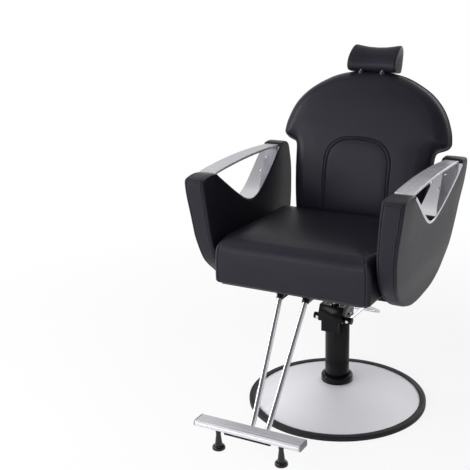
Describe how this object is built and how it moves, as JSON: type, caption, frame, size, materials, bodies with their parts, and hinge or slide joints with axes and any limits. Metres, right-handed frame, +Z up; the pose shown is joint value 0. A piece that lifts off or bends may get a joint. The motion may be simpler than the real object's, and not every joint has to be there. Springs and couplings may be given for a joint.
{
  "type": "barber chair",
  "caption": "Reclining barber chair: round base, foot-pumped lift, swivel seat, upholstered arms with chrome trim and armrest bars, winged back, sliding headrest and footrest.",
  "frame": {"origin": "on the floor at the centre of the round base", "axes": "+Z up, the sitter faces -Y, the recline lever is on the -X side"},
  "size_m": [0.6958, 0.9806, 1.1408],
  "materials": {
    "base_cover": "satin stainless",
    "rubber": "matte",
    "steel": "zinc plated",
    "black_paint": "satin black",
    "cast_iron": "black painted casting",
    "chrome": "polished",
    "aluminium": "satin extrusion",
    "grey_plastic": "matte",
    "black_plastic": "satin",
    "wood": "raw plywood",
    "leather": "fine grained, semi-gloss"
  },
  "bodies": {
    "base": {"base_plate": "black_paint", "base_cover": "base_cover", "base_trim": "rubber", "base_bolts": "steel", "pump_body": "cast_iron", "pump_tube": "black_paint", "pump_collar": "black_paint", "ram_seal": "rubber", "yoke_pin": "chrome"},
    "pump_lever": {"pump_yoke": "black_paint", "foot_lever": "chrome"},
    "plunger": {"pump_plunger": "steel"},
    "ram": {"ram_rod": "chrome"},
    "seat": {"mount_plate": "black_paint", "mount_bolts": "steel", "frame_rails": "black_paint", "frame_crossbars": "black_paint", "seat_board": "wood", "seat_cushion": "leather", "arm_panel_left": "leather", "arm_panel_right": "leather", "arm_trim_left": "chrome", "arm_trim_right": "chrome", "armrest_bar_left": "chrome", "armrest_bar_right": "chrome", "arm_screws": "chrome", "arm_bolts": "steel", "hinge_brackets": "black_paint", "hinge_pins": "steel", "footrest_socket": "black_paint", "footrest_stem_left": "chrome", "footrest_stem_right": "chrome", "footrest_plate": "black_paint", "footrest_tread": "aluminium", "tread_end_caps": "grey_plastic", "footrest_feet": "rubber", "cable_stop": "black_paint", "release_cable": "black_plastic", "gas_anchor": "black_paint"},
    "backrest": {"hinge_arm_left": "steel", "hinge_arm_right": "steel", "hinge_crossbar": "black_paint", "back_panel": "leather", "back_cushion": "leather", "post_sleeves": "black_plastic"},
    "headrest": {"headrest_posts": "chrome", "headrest_pad": "leather"},
    "recline_lever": {"lever_hub": "chrome", "lever_arm": "chrome", "lever_tip": "black_plastic"},
    "gas_cylinder": {"gas_spring_cylinder": "black_paint"},
    "gas_rod": {"gas_spring_rod": "chrome"}
  },
  "joints": [
    {"name": "pedal", "type": "hinge", "parent": "base", "child": "pump_lever", "pos_m": [0, 0.0055, 0.311], "axis": [-1, 0, 0], "range_deg": [0, 14], "stiffness_Nm_per_rad": 10, "springref_deg": -8.59},
    {"name": "plunger_slide", "type": "slide", "parent": "base", "child": "plunger", "axis": [0, 0, 1], "range_m": [-0.0056, 0]},
    {"name": "lift", "type": "slide", "parent": "base", "child": "ram", "axis": [0, 0, 1], "range_m": [-0.06, 0.08]},
    {"name": "swivel", "type": "hinge", "parent": "ram", "child": "seat", "pos_m": [0, -0.018, 0.45], "axis": [0, 0, 1], "continuous": true},
    {"name": "recline", "type": "hinge", "parent": "seat", "child": "backrest", "pos_m": [0, 0.15, 0.45], "axis": [-1, 0, 0], "range_deg": [0, 24]},
    {"name": "headrest_slide", "type": "slide", "parent": "backrest", "child": "headrest", "axis": [0, 0.2588, 0.9659], "range_m": [0, 0.09]},
    {"name": "lever_pull", "type": "hinge", "parent": "seat", "child": "recline_lever", "pos_m": [-0.33, -0.129, 0.629], "axis": [1, 0, 0], "range_deg": [0, 25], "stiffness_Nm_per_rad": 0.8},
    {"name": "gas_swing", "type": "hinge", "parent": "seat", "child": "gas_cylinder", "pos_m": [-0.086, -0.03, 0.432], "axis": [1, 0, 0], "range_deg": [0, 1.7]},
    {"name": "gas_stroke", "type": "slide", "parent": "gas_cylinder", "child": "gas_rod", "axis": [0, 0.9858, -0.1681], "range_m": [-0.0205, 0]}
  ],
  "couplings": [
    {"joint": "plunger_slide", "follows": "pedal", "m_per_rad": -0.0213},
    {"joint": "gas_swing", "follows": "recline", "ratio": 0.0658},
    {"joint": "gas_stroke", "follows": "recline", "m_per_rad": -0.0464}
  ]
}
